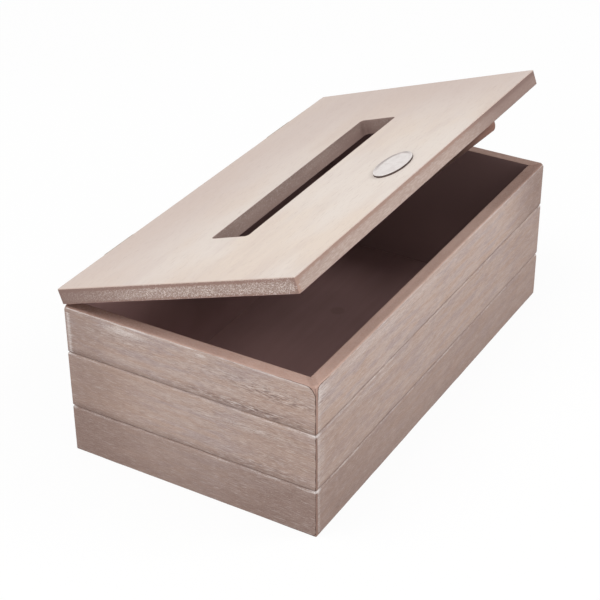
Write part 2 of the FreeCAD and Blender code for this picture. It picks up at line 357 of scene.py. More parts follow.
def lid_top():
    """Pale limed face, almost even, with faint grain that runs lengthwise."""
    material, tree = new_material("lid_top")
    place = tree.attribute("grain", "Vector")
    warm = tree.noise(place, (70, 34, 34), 3, 0.5)
    drift = tree.noise(place, (60, 12, 12), 3, 0.55)
    fibre = tree.noise(place, (6, 0.55, 0.55), 3, 0.65)
    colour = tree.mix(tree.ramp(warm, 0.38, 0.64), LID_PALE, LID_WARM)
    colour = tree.mix(tree.ramp(drift, 0.42, 0.70, 0.0, 0.3), colour, LID_GREY)
    colour = tree.mix(tree.attribute("shade"), colour, LID_GREY)
    colour = tree.mix(tree.ramp(fibre, 0.46, 0.28, 0.0, 0.3), colour, LID_EDGE)
    colour = tree.mix(tree.ramp(fibre, 0.56, 0.74, 0.0, 0.35), colour, LIME)
    colour = tree.mix(tree.attribute("rubbed"), colour, LID_BARE)
    tree.finish(colour, tree.vary(fibre, 0.68, 0.8), fibre, 0.03)
    return material


def lid_edge(name, cell, speckle, darkness, margin):
    """A sawn edge: brown board with lime in its open grain, rubbed bare along its margins.

    The grain's cells are given in millimetres, then how speckled and how dark the edge is,
    and the colour of its margins.
    """
    material, tree = new_material(name)
    place = tree.attribute("grain", "Vector")
    dots = tree.noise(place, cell, 2, 0.6)
    broad = tree.noise(place, (14, 6, 3), 3, 0.6)
    colour = tree.mix(tree.ramp(broad, 0.35, 0.65, darkness, darkness - 0.25), LID_EDGE, LID_EDGE_DARK)
    colour = tree.mix(tree.ramp(dots, 0.50, 0.32, 0.0, 0.75 * speckle), colour, LID_EDGE_DARK)
    colour = tree.mix(tree.ramp(dots, 0.50, 0.68, 0.0, speckle), colour, LID_EDGE_PALE)
    rubbed = tree.plus(tree.attribute("rubbed"), tree.vary(dots, 0.15, -0.3))
    colour = tree.mix(tree.ramp(rubbed, 0.1, 0.7, 0.0, 0.92), colour, margin)
    colour = tree.mix(tree.attribute("dark"), colour, LID_EDGE_DARK)
    tree.finish(colour, tree.vary(dots, 0.78, 0.9), dots, 0.1)
    return material


def brown_wood():
    """The locating strip: brown wood, darker towards its left end as painted shade under the lid."""
    material, tree = new_material("brown_strip")
    place = tree.place()
    along = tree.node("ShaderNodeSeparateXYZ", {"Vector": place}).outputs["X"]
    streak = tree.noise(place, (26, 1.1, 1.1), 3, 0.6)
    colour = tree.mix(tree.ramp(streak, 0.35, 0.65), srgb(134, 102, 92), srgb(148, 114, 102))
    # Painted shade: dark tones towards the left end, where the strip lies in the lid's shade.
    painted_shade = tree.mix(tree.ramp(streak, 0.35, 0.65), srgb(58, 42, 38), srgb(68, 50, 45))
    colour = tree.mix(tree.ramp(along, 0.038, 0.088), painted_shade, colour)
    tree.finish(colour, tree.vary(streak, 0.8, 0.9), streak, 0.06, 0.04)
    return material


def metal(name, tint, dull, roughness, metallic=1.0, rim=None):
    """Plated metal with a fine brushed tone, a little tarnish and, given a rim colour, painted shade
    on its border.
    """
    material, tree = new_material(name)
    place = tree.place()
    brushed = tree.noise(place, (2.4, 0.12, 0.12), 2, 0.6)
    patch = tree.noise(place, (3, 3, 3), 3, 0.6)
    colour = tree.mix(tree.ramp(patch, 0.4, 0.7, 0.0, 0.7), tint, dull)
    colour = tree.mix(tree.vary(brushed, 0.0, 0.25), colour, dull)
    if rim:
        colour = tree.mix(tree.attribute("rim"), colour, rim)
    low, high = roughness
    tree.finish(colour, tree.vary(brushed, low, high), brushed, 0.01, 0.5, metallic)
    return material


PLANKS = limed_planks()
INSIDE = stained_inside()
LID_TOP = lid_top()
LID_LONG_EDGE = lid_edge("lid_long_edge", (3.2, 0.5, 0.5), 0.24, 0.1, LID_BARE)
LID_SHORT_EDGE = lid_edge("lid_short_edge", (0.52, 0.52, 0.45), 0.9, 0.47, LID_BARE_DARK)
LID_SLOT_WALL = lid_edge("lid_slot_wall", (1.3, 0.6, 0.6), 0.25, 0.62, LID_BARE)
# The badge's rim colour is painted shade on the far side of its border.
BADGE = metal("badge_satin", srgb(229, 223, 220), srgb(213, 205, 202), (0.36, 0.48),
              rim=srgb(168, 157, 153))
# Painted shade: the plate's side wall is dark brown for the shade on it and the shadow below it.
BADGE_EDGE_SHADE = metal("badge_edge", srgb(88, 72, 67), srgb(70, 56, 52), (0.6, 0.75), metallic=0.3)
HINGE = metal("hinge_plate", srgb(176, 164, 146), srgb(128, 114, 98), (0.34, 0.5))
SCREW = metal("screw_steel", srgb(178, 174, 168), srgb(140, 134, 126), (0.3, 0.45))


# ------------------------------------------------------------------------ meshes
SHARP_ANGLE = math.radians(50)


def new_piece(name, points, faces, indices, materials, values, node, body):
    """A mesh piece from points in millimetres, with its materials and point values."""
    mesh = bpy.data.meshes.new(name)
    mesh.from_pydata((points * MM).tolist(), [], faces)
    for key, value in values.items():
        kind, field = ("FLOAT_VECTOR", "vector") if value.ndim == 2 else ("FLOAT", "value")
        layer = mesh.attributes.new(key, kind, "POINT")
        layer.data.foreach_set(field, value.astype(np.float32).ravel())
    for material in materials:
        mesh.materials.append(material)
    mesh.polygons.foreach_set("material_index", np.array(indices, np.int32))
    turned = bmesh.new()
    turned.from_mesh(mesh)
    bmesh.ops.recalc_face_normals(turned, faces=turned.faces)
    turned.to_mesh(mesh)
    turned.free()
    mesh.shade_smooth()
    piece = bpy.data.objects.new(name, mesh)
    bpy.context.scene.collection.objects.link(piece)
    mesh.set_sharp_from_angle(angle=SHARP_ANGLE)
    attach(piece, body)
    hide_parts(node)


def arc(depth, height, radius, start, end, steps):
    """Points on an arc, in degrees, after its first one."""
    turns = np.radians(np.linspace(start, end, steps + 1)[1:])
    return [(depth + radius * math.cos(t), height + radius * math.sin(t)) for t in turns]


def run(start, end, step):
    """Points on a straight run, after its first one."""
    count = max(1, math.ceil(math.dist(start, end) / step))
    share = np.linspace(0, 1, count + 1)[1:, None]
    return [tuple(p) for p in np.array(start) + share * (np.array(end) - np.array(start))]


# ------------------------------------------------------------------------ planks
GROOVE_ROUND, RIM_ROUND, FOOT_ROUND, INNER_ROUND = 1.2, 1.0, 0.3, 0.25
FACE_STEP, RIM_STEP, HIDDEN_STEP = 0.42, 0.5, 4.0
ROUND_STEPS, INNER_STEPS = 6, 2
# Spacing of points along a plank: the gaps from its ends inwards, and how they widen.
END_GAPS = [0.08, 0.1, 0.14, 0.2] + [0.3] * 14
GAP_GROWTH, WIDEST_GAP = 1.12, 1.0
# Unevenness of the wood: depth of furrows, of waves and of wear at the edges.
FURROW_DEPTH, WAVE_DEPTH, EASE_DEPTH, EASE_REACH = 0.10, 0.02, 0.06, 1.6
# The mitre shows as a fine seam: its depth, its width and how far in it goes.
SEAM_DEPTH, SEAM_WIDTH, SEAM_REACH = 0.12, 0.36, 1.6
# How far apart the planks are cut from the grain pattern.
GRAIN_SHIFT_ALONG, GRAIN_SHIFT_UP = 400, 37
NEAR = "front_left"            # the upright corner that is nearest in the photograph

# How each side lies: its turn about the Z axis, its half length, and how far out it stands.
SIDES = {"front": (0, HALF_X, HALF_Y), "right": (1, HALF_Y, HALF_X),
         "rear": (2, HALF_X, HALF_Y), "left": (3, HALF_Y, HALF_X)}
# The corner at the start and at the end of each side.
ENDS = {"front": ("front_left", "front_right"), "right": ("front_right", "rear_right"),
        "rear": ("rear_right", "rear_left"), "left": ("rear_left", "front_left")}
# Reach and depth of the sanded tips.
TIPS = {"front_left": (4.7, 1.9), "front_right": (3.4, 1.3),
        "rear_left": (3.6, 1.5), "rear_right": (3.4, 1.3)}
# Radius of the upright corners, at the rim and below it.
CORNER_ROUND = {"front_left": (1.0, 0.9), "front_right": (1.0, 0.5),
                "rear_left": (1.0, 0.4), "rear_right": (1.0, 0.5)}
# Width of the sanded strip beside an upright corner, and radius of its turn into the rim.
STRIPS = {("front", "front_left"): (1.6, 2.6), ("left", "front_left"): (0.25, 5.6)}
STRIP = (0.3, 2.2)
LOWER_STRIP = 0.7              # how much of that width the strip has below the top course
RIM_BARE = 0.35                # width of the bare edge of the rim on the faces
FOOT_WEAR = 3.2                # radius of the bare patch at the foot of the near corner
# How dark bare wood is. The rim is paler on two sides, and darkens from one place to another:
# painted light and shade, darker where the lid shades the rim.
RIM_WEAR = 0.55
RIM_PAINTED_SHADE = {"front": (0.2, 0.9, 30, 110), "left": (0.4, 1.0, 0, -60)}
# How strongly the grain is brushed up, by side and by course.
BRUSH = {"front": 0.7, "right": 0.9, "rear": 0.7, "left": 1.0}
COURSE_BRUSH = {"bottom": 0.6, "middle": 0.85, "top": 0.95}
# How dark the staining is on each side, from the bottom course up; the lower courses are darker partly
# as painted shade.
DARKNESS = {"front": (0.57, 0.22, 0.0), "right": (0.5, 0.3, 0.2),
            "rear": (0.5, 0.3, 0.2), "left": (0.66, 0.22, 0.18)}
# Patches by plank, each with its place along and up, its size along and up, and its strength.
# Lime left on the face:
LIMED = {
    ("left", "top"): [(-34, 78.6, 13, 2.2, 0.62), (8, 80.0, 5, 1.3, 0.5), (44, 73.5, 26, 2.2, 0.25)],
    ("left", "middle"): [(34, 49.0, 26, 1.6, 0.3)],
    ("front", "top"): [(-118, 78, 5, 4.5, 0.4), (-60, 78.5, 60, 3.0, 0.34), (50, 78, 60, 3.0, 0.2)],
    ("front", "middle"): [(-70, 53, 45, 2.0, 0.3), (-119, 44, 3, 12.0, 0.25)],
}
# Grain brushed up more:
ROUGHER = {
    ("left", "top"): [(36, 73.0, 30, 3.2, 0.4), (50, 70.5, 20, 3.4, 0.6), (38, 60.2, 36, 2.3, 0.9),
                      (-35, 74, 20, 5.0, 0.35)],
    ("left", "middle"): [(40, 50, 36, 4.0, 0.3), (50, 36, 16, 2.0, 0.35), (42, 30.0, 26, 2.2, 0.6)],
    ("left", "bottom"): [(46, 22, 20, 3.0, 0.25)],
    ("front", "top"): [(-118, 76, 6, 7.0, 0.5)],
}
# Darker staining, and painted shade along the foot of the box:
DARKER = {
    ("left", "top"): [(-64, 66, 22, 40, 0.5), (30, 60.5, 44, 2.6, 0.34)],
    ("left", "middle"): [(-62, 40, 24, 40, 0.5), (52, 36, 26, 16, 0.18), (10, 29, 60, 2.0, 0.2)],
    ("left", "bottom"): [(-62, 14, 24, 40, 0.32), (62, 8, 34, 20, 0.42), (0, 3, 90, 6, 0.15)],
    ("front", "top"): [(118, 70, 30, 40, 0.86), (-122, 60, 30, 40, 0.06)],
    ("front", "middle"): [(-114, 42, 50, 40, 0.12), (120, 42, 40, 40, 0.24)],
    ("front", "bottom"): [(-114, 10, 50, 40, 0.18), (0, 3, 150, 5, 0.12)],
}
# Browner wood:
WARMER = {
    ("left", "top"): [(52, 66, 22, 9, 0.4), (58, 70, 20, 14, 0.35)],
    ("left", "middle"): [(-50, 41, 26, 30, 0.62), (54, 41, 26, 30, 0.55)],
    ("left", "bottom"): [(-55, 14, 30, 20, 0.45)],
    ("front", "middle"): [(-104, 41, 36, 30, 0.3)],
    ("front", "bottom"): [(-104, 14, 36, 20, 0.25)],
}


def plank_profile(course):
    """Points (depth from the outer face, height), and where the seen and inner faces start."""
    z0, z1 = COURSES[course]
    low_round = FOOT_ROUND if course == "bottom" else GROOVE_ROUND
    high_round = RIM_ROUND if course == "top" else GROOVE_ROUND
    if course == "bottom":
        step = WALL - BOARD_STEP
        path = [(WALL, BOARD_HEIGHT)] + run((WALL, BOARD_HEIGHT), (step, BOARD_HEIGHT), HIDDEN_STEP)
        path += run(path[-1], (step, z0), HIDDEN_STEP)
    else:
        path = [(WALL, z0)]
    seen = len(path)
    path += run(path[-1], (low_round, z0), HIDDEN_STEP)
    path += arc(low_round, z0 + low_round, low_round, 270, 180, ROUND_STEPS)
    path += run(path[-1], (0, z1 - high_round), FACE_STEP)
    path += arc(high_round, z1 - high_round, high_round, 180, 90, ROUND_STEPS)
    inner = INNER_ROUND if course == "top" else 0.0
    path += run(path[-1], (WALL - inner, z1), RIM_STEP if course == "top" else HIDDEN_STEP)
    if inner:
        path += arc(WALL - inner, z1 - inner, inner, 90, 0, INNER_STEPS)
    inside = len(path) - 1
    path += run(path[-1], path[0], HIDDEN_STEP)[:-1]
    return np.array(path), seen, inside


def spread(half):
    """Places along a plank from 0 to 1, close together near both ends."""
    gaps = list(END_GAPS)
    while gaps[-1] < WIDEST_GAP:
        gaps.append(min(WIDEST_GAP, gaps[-1] * GAP_GROWTH))
    ends = np.cumsum([0] + gaps)
    middle = np.linspace(ends[-1], 2 * half - ends[-1], int(2 * half - 2 * ends[-1]) + 1)
    places = np.concatenate([ends[:-1], middle, (2 * half - ends[:-1])[::-1]])
    return places / (2 * half)


def blotches(along, height, patches):
    """The sum of soft patches at each point."""
    total = np.zeros(np.broadcast(along, height).shape)
    for place, level, length, tallness, strength in patches:
        total += strength * bell(along - place, length) * bell(height - level, tallness)
    return total


def rounded_gap(across, down, radius):
    """Distance into a face from its two edges, whose meeting corner is rounded."""
    x, y = radius - across, radius - down
    inside = np.hypot(np.maximum(x, 0), np.maximum(y, 0))
    return np.where((x > 0) & (y > 0), radius - inside, np.minimum(across, down))


def ball(tip, *gaps):
    """Moves points beyond a tip's ball onto it. The gaps are distances from its three faces."""
    reach, depth = TIPS[tip]
    root3 = math.sqrt(3)
    inset = (reach * reach - depth * depth) / (2 * (reach - root3 * depth))
    radius = inset * root3 - depth
    offset = np.stack(gaps) - inset
    length = np.sqrt((offset ** 2).sum(0))
    near = (offset < 0).all(0) & (length > radius)
    factor = np.where(near, radius / np.maximum(length, 1e-9), 1.0)
    return [np.where(near, inset + o * factor, g) for o, g in zip(offset, gaps)]


def flat_plank(side, course):
    """A plank before wear: where its points lie, and how far each is from its edges."""
    half = SIDES[side][1]
    z0, z1 = COURSES[course]
    profile, seen, inside = plank_profile(course)
    share = spread(half)[:, None]
    depth = profile[:, 0][None, :] + 0 * share
    height = profile[:, 1][None, :] + 0 * share
    along = (2 * share - 1) * (half - depth)
    at_end = along > 0
    # Distances from the edges, unrolled over the roundings.
    below = (z1 - height) - depth
    above = (height - z0) - depth
    corner = half - np.abs(along) - depth
    near_half = dict(zip(ENDS[side], (~at_end, at_end))).get(NEAR, False)
    return SimpleNamespace(share=share, depth=depth, height=height, along=along, at_end=at_end,
                           below=below, above=above, corner=corner, seen=seen, inside=inside,
                           from_near=np.where(near_half, corner, 2 * half))


def tips_of(side, flat):
    """The upright corners of a side, each with the half of the plank that it ends."""
    return zip(ENDS[side], (~flat.at_end, flat.at_end))


def worn_points(side, course, flat, seed):
    """The points of a plank with its unevenness, rounded corners and sanded tips."""
    turn, half, out = SIDES[side]
    top = COURSES[course][1]
    is_top = course == "top"

    # The wood's own unevenness, always into the wood.
    skin = smooth(np.arange(flat.depth.shape[1]), flat.seen - 1, flat.seen)[None, :]
    face = smooth(WALL - flat.depth, 0.5, 3.0) * skin
    furrow = np.maximum(noise(flat.along / 13, flat.height / 1.3, seed), 0) ** 2
    wave = 1 + noise(flat.along / 31, flat.height / 8, seed + 1)
    edge = bell(np.minimum(np.maximum(flat.below, 0), np.maximum(flat.above, 0)), EASE_REACH)
    ease = (1 + noise(flat.along / 9, flat.height * 0 + seed, seed + 2)) * edge
    into = (furrow * FURROW_DEPTH * BRUSH[side] + WAVE_DEPTH * wave + EASE_DEPTH * ease) * face
    up_face = flat.below < 0
    depth = flat.depth + np.where(up_face, 0, into)
    height = flat.height - np.where(up_face & is_top, into, 0)
    gap = half - np.abs((2 * flat.share - 1) * (half - depth))

    # The upright corners are rounded, and the rim's tips sanded to a ball.
    first_round, last_round = (CORNER_ROUND[tip][0 if is_top else 1] for tip in ENDS[side])
    radius = np.where(flat.at_end, last_round, first_round)
    turn_in = (gap < radius) & (depth < radius)
    reach = np.hypot(gap - radius, depth - radius)
    pull = np.where(turn_in & (reach > radius), radius / np.maximum(reach, 1e-9), 1.0)
    gap, depth = (np.where(turn_in, radius + (g - radius) * pull, g) for g in (gap, depth))
    if is_top:
        for tip, chosen in tips_of(side, flat):
            ball_gap, ball_depth, ball_down = ball(tip, gap, depth, top - height)
            gap = np.where(chosen, ball_gap, gap)
            depth = np.where(chosen, ball_depth, depth)
            height = np.where(chosen, top - ball_down, height)
    seam = np.clip(1 - (gap - depth) / SEAM_WIDTH, 0, 1) * np.clip(1 - depth / SEAM_REACH, 0, 1)
    gap = gap + SEAM_DEPTH * seam
    depth = depth + SEAM_DEPTH * seam

    # Turned into place about the Z axis.
    x, y = np.where(flat.at_end, 1.0, -1.0) * (half - gap), -(out - depth)
    for _ in range(turn):
        x, y = -y, x
    return np.stack([x, y, height], 2)


def strip_width(side, course, tip):
    """Width of the sanded strip beside an upright corner."""
    width, _ = STRIPS.get((side, tip), STRIP)
    return width if course == "top" else LOWER_STRIP * width


def sanded(side, course, flat, seed):
    """Distance into the limed face, and how dark its outline and the bare wood are."""
    shape = flat.height.shape
    bare, crease, worn_and_shade = np.zeros(shape), np.zeros(shape), np.full(shape, RIM_WEAR)
    # Painted light and shade: on two sides the rim's bare wood darkens where the lid shades it.
    if course == "top" and side in RIM_PAINTED_SHADE:
        pale, dark, start, end = RIM_PAINTED_SHADE[side]
        rim = pale + (dark - pale) * smooth(flat.along, start, end)
        worn_and_shade = np.where(flat.below < 0.6, rim, worn_and_shade)
    for tip, chosen in tips_of(side, flat):
        found = flat.corner - strip_width(side, course, tip)
        if course == "top":
            found = rounded_gap(found, flat.below - RIM_BARE, STRIPS.get((side, tip), STRIP)[1])
        elif course == "bottom" and tip == NEAR:
            found = rounded_gap(found, flat.above - 0.1, FOOT_WEAR)
        bare = np.where(chosen, found, bare)
        if tip == NEAR:
            # The outline is dark round the near corner and fades away from it.
            if side == "left":
                outlined = smooth(flat.corner, 24, 9)
            elif course == "top":
                outlined = smooth(flat.corner + np.maximum(flat.below, 0), 14, 6)
            else:
                outlined = 0.4
            crease = np.where(chosen, outlined, crease)
            darker = (0.2 if course == "top" else 0.6) * (1 - smooth(flat.corner, 2.0, 3.5))
            worn_and_shade = worn_and_shade + np.where(chosen, darker, 0)
    # The outline is ragged, and lime stays along the upper edge of the lower planks.
    bare = bare + 0.22 * noise(flat.along / 4.0, flat.height / 2.5, seed + 5)
    if course != "top":
        bare = bare + 2.0 * bell(flat.below, 1.2)
    return bare, crease, worn_and_shade


def limed(side, course, flat, seed):
    """How much lime is left on the face, in its patches and along its edges."""
    below, corner = flat.below, flat.corner
    lime = blotches(flat.along, flat.height, LIMED.get((side, course), ()))
    if side == "front":
        # A pale line beside the sanded strip of the near corner.
        from_strip = corner - strip_width(side, course, NEAR)
        beside = bell(from_strip - 1.2, 1.6) * (from_strip > 0)
        lime = lime + np.where(flat.at_end, 0, 0.3 * beside)
    if (side, course) == ("left", "top"):
        # A pale line down the far end of the top plank.
        beside = bell(corner - 2.2, 1.2) * (below > 3)
        lime = lime + np.where(flat.at_end, 0, 0.6 * beside)
    # Lime along the rim, or along the groove above and in its corners.
    uneven = 0.6 + 0.4 * noise(flat.along / 9, flat.height * 0, seed + 6)
    if course == "top":
        return lime + (0.8 if side == "left" else 0.5) * uneven * bell(below - 0.8, 0.5)
    strength = 0.3 + 0.25 * bell(flat.from_near, 45)
    ridge = bell(below - 0.7, 1.0) if side in ("left", "right") else bell(below - 0.4, 0.8)
    return lime + strength * uneven * ridge + 0.8 * bell(corner, 2.2) * bell(below - 0.1, 0.7)


def darkened(side, course, flat, seed):
    """How dark the staining is, and how dark the mitres are and the painted shade in the grooves."""
    below, above = flat.below, flat.above
    shade = DARKNESS[side][list(COURSES).index(course)]
    shade = shade + blotches(flat.along, flat.height, DARKER.get((side, course), ()))
    # The mitre's dark joint, then painted shade in the grooves and beside them.
    line = 0.8 * bell(flat.corner, 0.2) * (flat.depth < 2.5) * (below > 0)
    if side in ("front", "rear"):
        # Clean grooves, dark with painted shade.
        dark = 0.9 + 0.1 * noise(flat.along / 6, flat.height * 0, seed + 8)
        fray, reach = 0.3, 1.2
        under = 0.16 * bell(above - 1.2, 1.3)
    else:
        # Grooves that are partly filled with lime, with fainter painted shade.
        dark = 0.08 + 0.3 * np.maximum(noise(flat.along / 5, flat.height * 0, seed + 8), 0)
        fray, reach = 0.6, 2.0
        under = 0.36 * bell(above - 1.4, 1.7)
    if course != "bottom":
        ragged = above + fray * noise(flat.along / 2.4, flat.height / 0.8, seed + 9)
        line = np.maximum(line, dark * (1 - smooth(ragged, 0.0, reach)))
        shade = shade + under
    if course != "top":
        line = np.maximum(line, dark * (1 - smooth(below, -0.8, -0.3)))
    return shade, line


def plank(side, course, seed):
    """One plank with mitred ends, eased edges, brushed grain and sanded tips."""
    flat = flat_plank(side, course)
    points = worn_points(side, course, flat, seed)
    bare, crease, worn_and_shade = sanded(side, course, flat, seed)
    lime = limed(side, course, flat, seed)
    shade, line = darkened(side, course, flat, seed)
    rough = blotches(flat.along, flat.height, ROUGHER.get((side, course), ()))
    warm = blotches(flat.along, flat.height, WARMER.get((side, course), ()))
    brush = BRUSH[side] * COURSE_BRUSH[course] * (0.65 + 0.35 * bell(flat.from_near, 90))
    grain = np.stack([flat.along + GRAIN_SHIFT_ALONG * seed, flat.height + GRAIN_SHIFT_UP * seed,
                      flat.depth], 2)
    values = {"bare": bare, "crease": crease, "worn_and_shade": worn_and_shade, "lime": np.clip(lime, 0, 1),
              "shade": np.clip(shade, 0, 1), "joint": np.clip(line, 0, 1), "warm": warm,
              "brush": brush + 0.5 * rough, "rough": rough}
    values = {key: value.ravel() for key, value in values.items()}
    values["grain"] = grain.reshape(-1, 3) * MM

    # Faces between the cross-sections, and one at each end.
    count, rows = points.shape[:2]
    index = np.arange(count * rows).reshape(count, rows)
    after = np.roll(index, -1, axis=1)
    corners = (index[:-1], index[1:], after[1:], after[:-1])
    quads = np.stack([c.ravel() for c in corners], 1)
    faces = quads.tolist() + [index[0].tolist(), index[-1][::-1].tolist()]
    inner = np.tile((np.arange(rows) >= flat.inside).astype(int), count - 1)
    node = f"{side}_plank_{course}"
    new_piece(node + "_limed", points.reshape(-1, 3), faces, inner.tolist() + [0, 0],
              [PLANKS, INSIDE], values, node, "box")


for number, (side, course) in enumerate((s, c) for s in SIDES for c in COURSES):
    plank(side, course, number + 3)


# --------------------------------------------------------------------------- lid
LID_CORNER, LID_UNDER, LID_UPPER, SLOT_ROUND = 0.5, 0.4, 0.3, 0.15
LONG_STEPS, SHORT_STEPS, CORNER_STEPS = 210, 110, 8
SHORT_SIDES = (0, 2)           # the sides of an outline that run along Y
# Depth of the dents along the lid's edges, of the waves on its top and of wear at its tips.
LID_DENT, LID_WAVE, LID_TIP_WEAR = 0.06, 0.03, 0.06
# Greyer patches on the lid: place, size and strength.
LID_GREYER = [(-20, 62, 160, 42, 0.8), (125, -20, 60, 80, 0.85), (-122, -10, 14, 40, 0.2)]
# The lid board's materials, by the numbers that its faces give.
LID_MATERIALS = [LID_TOP, LID_LONG_EDGE, INSIDE, LID_SHORT_EDGE, LID_SLOT_WALL]
TOP, LONG_EDGE, UNDERSIDE, SHORT_EDGE, SLOT_WALL = range(5)
FIRST_LINE = 0.003             # where the first line beside a rounding lies, as a share


def opened(points):
    """Lid points turned from the shut place to the one they rest in."""
    y, z = points[:, 1] - HINGE_Y, points[:, 2] - HINGE_Z
    cos, sin = math.cos(LID_OPEN), math.sin(LID_OPEN)
    return np.stack([points[:, 0], HINGE_Y + y * cos + z * sin, HINGE_Z - y * sin + z * cos], 1)


def outline(half_x, half_y, radius):
    """A rounded rectangle: points, outward normals and the side after each corner."""
    spots, normals, sides = [], [], []
    centres = [(1, -1, -90), (1, 1, 0), (-1, 1, 90), (-1, -1, 180)]
    for number, (sign_x, sign_y, start) in enumerate(centres):
        centre = np.array((sign_x * (half_x - radius), sign_y * (half_y - radius)))
        turns = np.radians(np.linspace(start, start + 90, CORNER_STEPS + 1))
        normal = np.stack([np.cos(turns), np.sin(turns)], 1)
        spots += list(centre + radius * normal)
        normals += list(normal)
        next_x, next_y, _ = centres[(number + 1) % 4]
        next_centre = np.array((next_x * (half_x - radius), next_y * (half_y - radius)))
        steps = SHORT_STEPS if number in SHORT_SIDES else LONG_STEPS
        share = np.linspace(0, 1, steps + 1)[1:-1, None]
        end = next_centre + radius * normal[-1]
        spots += list(spots[-1] * (1 - share) + end * share)
        normals += [normal[-1]] * len(share)
        sides += [number] * (CORNER_STEPS + 1 + len(share))
    return np.array(spots), np.array(normals), np.array(sides)


def lid_section():
    """The section of the lid board, from the slot's foot over the top to the underside.

    Each step has its share of the way from slot to outline, its distance into the wood
    from the slot and from the outline, its height and its material.
    """
    slot_top, slot_foot = LID_HIGH - SLOT_ROUND, LID_LOW + SLOT_ROUND
    edge_top, edge_foot = LID_HIGH - LID_UPPER, LID_LOW + LID_UNDER
    out = [FIRST_LINE, *np.linspace(0, 1, 46)[1:-1], 1 - FIRST_LINE, 1]
    back = [1 - FIRST_LINE, *np.linspace(1, 0, 12)[1:-1], FIRST_LINE, 0]
    steps = [(0, 0, 0, z, SLOT_WALL) for z in np.linspace(slot_foot, slot_top, 12)]
    steps += [(0, d, 0, z, SLOT_WALL) for d, z in arc(SLOT_ROUND, slot_top, SLOT_ROUND, 180, 90, 3)]
    steps += [(share, SLOT_ROUND, LID_UPPER, LID_HIGH, TOP) for share in out]
    steps += [(1, SLOT_ROUND, LID_UPPER - d, z, TOP) for d, z in arc(0, edge_top, LID_UPPER, 90, 0, 4)]
    steps += [(1, SLOT_ROUND, 0, z, LONG_EDGE) for z in np.linspace(edge_top, edge_foot, 14)[1:]]
    steps += [(1, SLOT_ROUND, LID_UNDER - d, z, UNDERSIDE)
              for d, z in arc(0, edge_foot, LID_UNDER, 0, -90, 4)]
    steps += [(share, SLOT_ROUND, LID_UNDER, LID_LOW, UNDERSIDE) for share in back]
    steps += [(0, d, 0, z, UNDERSIDE)
              for d, z in arc(SLOT_ROUND, slot_foot, SLOT_ROUND, 270, 180, 3)[:-1]]
    return (np.array(column, float)[None, :] for column in zip(*steps))


def lid_wear(x, y, z, is_outline, is_top):
    """How grey the lid's points are, how far rubbed bare near the edges, and how dark."""
    from_x, from_y = HALF_X - np.abs(x), HALF_Y - np.abs(y)
    at_short = from_x < from_y
    below, above = LID_HIGH - z, z - LID_LOW
    shade = blotches(x, y, LID_GREYER)
    # The edges are rubbed along their upper and lower margins and at the corners.
    margins = 1 - smooth(below, 1.3, 3.0)
    margins = margins + np.where(at_short, 0.75, 0.2) * (1 - smooth(above, 0.9, 2.3))
    margins = margins * np.where(at_short, 0.85 - 0.22 * smooth(-y, 35, 62), 0.78)
    margins = margins + 0.75 * bell(from_x + from_y - 0.8, 1.5)
    rims = 0.5 * bell(np.minimum(from_x, from_y) - 0.1, 0.25)
    rubbed = np.where(is_top, rims, margins * is_outline)
    # The edges are darker towards the back and the right, the slot's walls towards their foot and the
    # right; the darkening towards the foot is painted shade deep in the slot.
    upper = (0.3 + 0.15 * smooth(x, 20, 100)) * bell(below, 2.4)
    short_dark, long_dark = 0.9 * smooth(y, 5, 75), 0.72 * smooth(x, 18, 85) + upper
    # Painted shade: the slot's walls darken towards their foot.
    slot_dark = 0.2 + 0.35 * smooth(below, 2, 6.5) + 0.45 * smooth(x, 30, 65)
    slot_dark = slot_dark - (x > 71) * 0.45 * (1 - smooth(y, 0, 11))
    dark = np.where(is_outline, np.where(at_short, short_dark, long_dark), slot_dark)
    return {"shade": np.clip(shade, 0, 1).ravel(), "rubbed": np.clip(rubbed, 0, 1).ravel(),
            "dark": np.clip(dark, 0, 1).ravel()}


